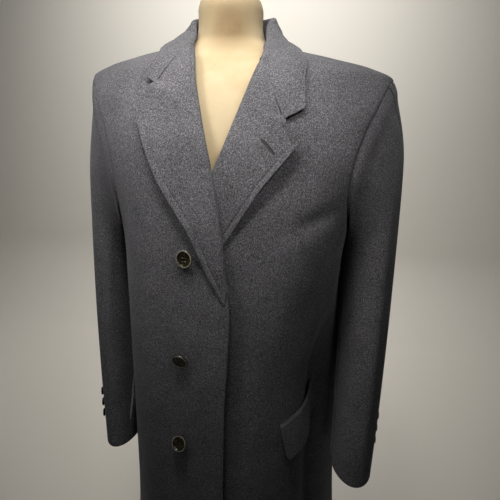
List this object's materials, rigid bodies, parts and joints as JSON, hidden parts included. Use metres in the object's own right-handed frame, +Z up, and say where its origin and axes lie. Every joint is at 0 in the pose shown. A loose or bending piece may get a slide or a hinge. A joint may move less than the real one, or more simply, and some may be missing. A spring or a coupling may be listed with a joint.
{
  "type": "cashmere overcoat on a dress form",
  "caption": "Single-breasted notch-lapel overcoat of charcoal cashmere, buttoned at the waist, on a limbless linen dress form with a pole and a round floor base.",
  "frame": {"origin": "centre of the round base's underside, on the floor", "axes": "+Z up, the coat's front faces -Y, +X is the wearer's left"},
  "size_m": [0.5332, 0.3804, 1.479],
  "materials": {
    "cashmere": "brushed wool nap, soft sheen",
    "horn_button": "polished dark horn",
    "form_linen": "matte cream linen",
    "stand_paint": "satin"
  },
  "bodies": {
    "root": {"front_right": "cashmere", "front_left": "cashmere", "back": "cashmere", "lapel_right": "cashmere", "lapel_left": "cashmere", "collar": "cashmere", "top_sleeve_right": "cashmere", "top_sleeve_left": "cashmere", "under_sleeve_right": "cashmere", "under_sleeve_left": "cashmere", "pocket_flap_right": "cashmere", "pocket_flap_left": "cashmere", "front_button_1": "horn_button", "front_button_2": "horn_button", "front_button_3": "horn_button", "cuff_button_right_1": "horn_button", "cuff_button_right_2": "horn_button", "cuff_button_right_3": "horn_button", "cuff_button_left_1": "horn_button", "cuff_button_left_2": "horn_button", "cuff_button_left_3": "horn_button", "form_torso": "form_linen", "form_pole": "stand_paint", "form_base": "stand_paint"}
  },
  "joints": []
}
